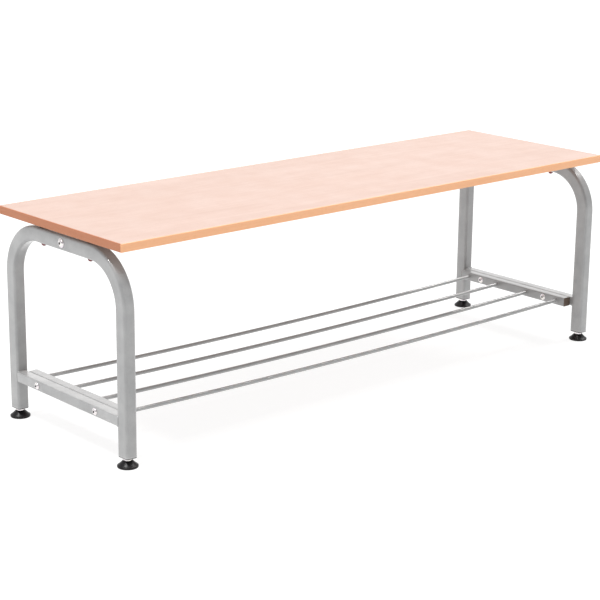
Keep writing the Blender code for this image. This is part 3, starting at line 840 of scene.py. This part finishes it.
def pan_screw(label):
    """Wood screw, head down: pan head with a cross recess, bare neck, coarse thread and point."""
    node = f"board_screw_{label}"
    low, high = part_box(node)
    centre = middle(node)
    head = extent(node).x / 2
    rail_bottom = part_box("seat_beam")[0].z
    seat = rail_bottom - low.z - 0.3 * MM
    length = high.z - low.z
    thread_end = length - SCREW_POINT
    crown = arc((0, 0), 1.0, -90, -12, 7)
    profile = [(head * c, seat * 0.9 + seat * 0.9 * s) for c, s in crown]
    profile[0] = (0, 0)
    profile += [(head, seat - 0.3 * MM), (head - 0.2 * MM, seat), (SCREW_SHANK + 0.3 * MM, seat)]
    profile += rows_between(SCREW_SHANK, seat + 0.5 * MM, thread_end, SCREW_PITCH / 4)
    profile += [(SCREW_SHANK * 0.55, length - 1.6 * MM), (0, length)]
    bm = turned(profile, SCREW_SIDES)
    threaded(bm, SCREW_SHANK, SCREW_THREAD_DEPTH, length * 0.5, thread_end, SCREW_PITCH)
    place = placed((centre.x, centre.y, low.z))
    recess = []
    for turn in (0, math.pi / 2):
        rings = []
        for z, reach, half in CROSS_ARM:
            corners = ((reach, half), (-reach, half), (-reach, -half), (reach, -half))
            rings.append([Vector((x * MM, y * MM, z * MM)) for x, y in corners])
        slot = loft(rings)
        slot.transform(place @ Matrix.Rotation(turn + CROSS_TURN, 4, "Z"))
        recess.append(slot)
    piece(f"pan_screw_{label}", bm, SCREW, node, holes=recess, at=place)


def spacer(label):
    """Nylon ring between the board and the rail or beam."""
    node = f"board_spacer_{label}"
    low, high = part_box(node)
    outer, half = extent(node).x / 2, (high.z - low.z) / 2
    edge = 0.3 * MM
    profile = [
        (SCREW_HOLE, half - edge),
        (SCREW_HOLE + edge, half),
        (outer - edge, half),
        (outer, half - edge),
        (outer, edge - half),
        (outer - edge, -half),
        (SCREW_HOLE + edge, -half),
        (SCREW_HOLE, edge - half),
    ]
    bm = turned(profile, SCREW_SIDES, closed=True)
    piece(f"spacer_{label}", bm, NYLON, node, at=placed(middle(node)))


def build_fasteners():
    for side, sx in SIDES:
        button_bolt(f"rail_bolt_{side}", f"{side}_rail_bolt", RAIL_BOLT, sx)
        for end, _ in ENDS:
            corner = f"{side}_{end}"
            button_bolt(f"connector_bolt_{corner}", f"rack_bolt_{corner}", RACK_BOLT, sx)
            sleeve_nut(f"sleeve_nut_{corner}", f"rack_nut_{corner}", RACK_BOLT, -sx)
    for label in SCREW_LABELS:
        pan_screw(label)
        spacer(label)


# ---- feet ---------------------------------------------------------------------------------------------
def build_insert(label):
    """Leg insert: ribbed block in the tube, flange under its end and a threaded bore."""
    node = f"leg_insert_{label}"
    size, centre = extent(node), middle(node)
    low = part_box(node)[0]
    leg_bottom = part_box(f"{label.split('_')[0]}_frame_tube")[0].z
    flange = leg_bottom - low.z
    wide, deep = size.x - 2 * TUBE_WALL + 0.4 * MM, size.y - 2 * TUBE_WALL + 0.4 * MM
    sections = [(0.0, 1.0 * MM, False), (0.35 * MM, 0.3 * MM, False), (0.8 * MM, 0.0, False)]
    sections += [(flange - 0.35 * MM, 0.0, False), (flange - 0.3 * MM, 0.6 * MM, True)]
    body = size.z - flange
    for rib in range(INSERT_RIBS):
        start = flange + body * (rib + 0.4) / (INSERT_RIBS + 0.6)
        sections += [(start, 1.0 * MM, True), (start + 0.5 * MM, 0.2 * MM, True)]
        sections.append((start + 2 * MM, 0.9 * MM, True))
    sections.append((size.z, 1.4 * MM, True))
    rings = []
    for z, inset, inner in sections:
        width = (wide if inner else size.x) - 2 * inset
        depth = (deep if inner else size.y) - 2 * inset
        outline = rounded_outline(width, depth, FRAME_TUBE_CORNER - TUBE_WALL)
        rings.append([Vector((centre.x + u, centre.y + v, low.z + z)) for u, v in outline])
    holes = [cylinder_cutter(STEM_BORE, 3 * size.z, centre, Z_AXIS, 48)]
    piece(f"threaded_insert_{label}", loft(rings), NYLON, node, holes=holes)


def build_pad(label):
    """Glossy cone with a lip, a stepped sole and a socket for the stem's ball."""
    node = f"foot_pad_{label}"
    size, centre = extent(node), middle(node)
    radius, height = size.x / 2, size.z
    top, lip = PAD_TOP, PAD_LIP
    socket = [(0, 4.0 * MM), (3.4 * MM, 4.0 * MM), (5.0 * MM, 5.6 * MM), (5.0 * MM, 8.8 * MM)]
    socket += [(3.7 * MM, 10.8 * MM), (3.7 * MM, height - 0.3 * MM), (4.0 * MM, height)]
    rim = arc((top - 0.9 * MM, height - 0.9 * MM), 0.9 * MM, 90, 35, 4)
    cone = []
    for step in range(1, 9):
        share = step / 9
        sag = PAD_HOLLOW * math.sin(math.pi * share)
        reach = top + (radius - 0.5 * MM - top) * share
        cone.append((reach, height - 0.7 * MM + (lip + 0.9 * MM - height) * share - sag))
    edge = arc((radius - 1.1 * MM, lip - 0.3 * MM), 1.1 * MM, 60, 0, 4)
    foot = [(radius, 1.6 * MM)] + arc((radius - 1.3 * MM, 1.3 * MM), 1.3 * MM, 0, -80, 4)
    sole = [(radius - 3.0 * MM, 0.0), (radius - 3.4 * MM, 0.5 * MM), (radius - 7 * MM, 0.5 * MM)]
    sole += [(radius - 7.4 * MM, 0.0), (0, 0.0)]
    bm = turned(socket + rim + cone + edge + foot + sole, PAD_SIDES)
    place = placed((centre.x, centre.y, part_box(node)[0].z))
    piece(f"glide_{label}", bm, BLACK, node, body=f"pad_{label}", at=place, sharp=40)


def build_stem(label):
    """Threaded stem with a chamfered hexagon and the ball that the pad swivels on."""
    node = f"foot_stem_{label}"
    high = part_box(node)[1]
    centre = middle(node)
    flats = extent(node).x
    leg_insert_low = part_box(f"leg_insert_{label}")[0].z
    hex_top = leg_insert_low - 0.3 * MM
    hex_low = hex_top - HEX_HEIGHT
    ball_start = math.degrees(math.acos(STEM_NECK / BALL_RADIUS))
    profile = [(0, high.z), (STEM_RADIUS - 1.0 * MM, high.z)]
    profile += rows_between(STEM_RADIUS, high.z - 0.8 * MM, hex_top - 0.5 * MM, STEM_PITCH / 6)
    profile += [(STEM_NECK, hex_top - 0.8 * MM), (STEM_NECK, hex_low)]
    profile += arc((0, BALL_Z), BALL_RADIUS, ball_start, -80, 12)
    profile += [(0, BALL_Z - BALL_RADIUS)]
    bm = turned(profile)
    threaded(bm, STEM_RADIUS, STEM_THREAD_DEPTH, hex_top + 0.5 * MM, high.z - 0.8 * MM, STEM_PITCH)
    place = placed((centre.x, centre.y, 0))
    outline = regular_outline(6, flats)
    corner = flats / 2 / math.cos(math.pi / 6)
    prism = loft([[Vector((x, y, z)) for x, y in outline] for z in (hex_low, hex_top)])
    envelope = turned(
        [
            (0, hex_top),
            (flats / 2 - 0.1 * MM, hex_top),
            (corner, hex_top - HEX_CHAMFER),
            (corner, hex_low + HEX_CHAMFER),
            (flats / 2 - 0.1 * MM, hex_low),
            (0, hex_low),
        ],
        72,
    )
    hexagon = mesh_object("hexagon", prism)
    combined(hexagon, [envelope], "INTERSECT")
    head = bmesh.new()
    head.from_mesh(hexagon.data)
    bpy.data.objects.remove(hexagon)
    head.transform(place)
    name, body = f"screw_stem_{label}", f"stem_{label}"
    piece(name, bm, ZINC, node, body=body, at=place, joined=[head])


def build_feet():
    for side, _ in SIDES:
        for end, _ in ENDS:
            label = f"{side}_{end}"
            build_insert(label)
            build_pad(label)
            build_stem(label)


# ---- studio -------------------------------------------------------------------------------------------
CAMERA_AZIMUTH = -40.7848
CAMERA_ELEVATION = 15.6959
CAMERA_ROLL = 0.4056
CAMERA_DISTANCE = 3.0047
CAMERA_TARGET = Vector((-0.5033, -0.4556, 0.3536))
FOCAL_LENGTH = 105.878
SENSOR_WIDTH = 36
CAMERA_SHIFT = 0.0333

FLOOR_HALF = 16.0
FLOOR_DARK = rgb(0.21, 0.21, 0.21)
FLOOR_LIGHT = rgb(0.23, 0.23, 0.23)
FLOOR_GLOW = 0.80
BACKDROP_DIRECTION = (0.62, 0.74, 0.25)
WORLD_DIM = 0.26
WORLD_BRIGHT = 1.25
BACKDROP_SEEN = 1.0
SUN_ANGLE = 14


def build_camera():
    azimuth, elevation, roll = map(math.radians, (CAMERA_AZIMUTH, CAMERA_ELEVATION, CAMERA_ROLL))
    back = Vector(
        (
            math.sin(azimuth) * math.cos(elevation),
            -math.cos(azimuth) * math.cos(elevation),
            math.sin(elevation),
        )
    )
    right = (-back).cross(Z_AXIS).normalized()
    up = right.cross(-back)
    across = right * math.cos(roll) + up * math.sin(roll)
    upward = up * math.cos(roll) - right * math.sin(roll)
    data = bpy.data.cameras.new("camera")
    data.sensor_width = SENSOR_WIDTH
    data.lens = FOCAL_LENGTH
    data.shift_x = CAMERA_SHIFT
    data.clip_start, data.clip_end = 0.05, 100
    camera = bpy.data.objects.new("camera", data)
    bpy.context.scene.collection.objects.link(camera)
    turn = Matrix((across, upward, back)).transposed().to_4x4()
    camera.matrix_world = Matrix.Translation(CAMERA_TARGET + back * CAMERA_DISTANCE) @ turn
    bpy.context.scene.camera = camera


def build_floor():
    bm = bmesh.new()
    bmesh.ops.create_grid(bm, x_segments=2, y_segments=2, size=FLOOR_HALF)
    floor = mesh_object("floor", bm)
    n = Nodes("floor")
    tone = n.noise((0.6, 0.6, 0.6), detail=3.0)
    colour = n.mix(n.ramp(tone, 0.0, 1.0), FLOOR_DARK, FLOOR_LIGHT)
    material = n.finish(colour, 0.9, Emission_Strength=FLOOR_GLOW, Emission_Color=rgb(1, 1, 1))
    floor.data.materials.append(material)


def build_world():
    """Even wrap of light, brightest behind the bench on the right. The camera sees it as plain white."""
    world = bpy.data.worlds.new("studio")
    world.use_nodes = True
    tree = world.node_tree
    background = tree.nodes["Background"]
    coords = tree.nodes.new("ShaderNodeTexCoord")
    facing = tree.nodes.new("ShaderNodeVectorMath")
    facing.operation = "DOT_PRODUCT"
    facing.inputs[1].default_value = BACKDROP_DIRECTION
    tree.links.new(coords.outputs["Generated"], facing.inputs[0])
    rise = tree.nodes.new("ShaderNodeMapRange")
    rise.inputs["From Min"].default_value = -1.0
    rise.inputs["From Max"].default_value = 1.0
    rise.inputs["To Min"].default_value = WORLD_DIM
    rise.inputs["To Max"].default_value = WORLD_BRIGHT
    tree.links.new(facing.outputs["Value"], rise.inputs["Value"])
    seen = tree.nodes.new("ShaderNodeLightPath")
    strength = tree.nodes.new("ShaderNodeMix")
    strength.inputs["B"].default_value = BACKDROP_SEEN
    tree.links.new(seen.outputs["Is Camera Ray"], strength.inputs["Factor"])
    tree.links.new(rise.outputs["Result"], strength.inputs["A"])
    tree.links.new(strength.outputs["Result"], background.inputs["Strength"])
    background.inputs["Color"].default_value = (1, 1, 1, 1)
    bpy.context.scene.world = world


def sun(name, towards, strength):
    """Soft light that comes from the direction."""
    data = bpy.data.lights.new(name, "SUN")
    data.energy = strength
    data.angle = math.radians(SUN_ANGLE)
    lamp = bpy.data.objects.new(name, data)
    lamp.rotation_euler = Vector(towards).to_track_quat("Z", "Y").to_euler()
    bpy.context.scene.collection.objects.link(lamp)


def build_lights():
    sun("key", (-0.33, 0.0, 0.944), 2.4)
    sun("right_softbox", (0.63, -0.1, 0.77), 1.2)


def build_studio():
    build_camera()
    build_floor()
    build_world()
    build_lights()
    bpy.context.scene.view_settings.view_transform = "Standard"
    bpy.context.scene.view_settings.look = "None"


# ---- assembly -----------------------------------------------------------------------------------------
build_seat()
build_beam()
for side_name, _ in SIDES:
    build_end_frame(side_name)
build_rack()
build_fasteners()
build_feet()
build_studio()
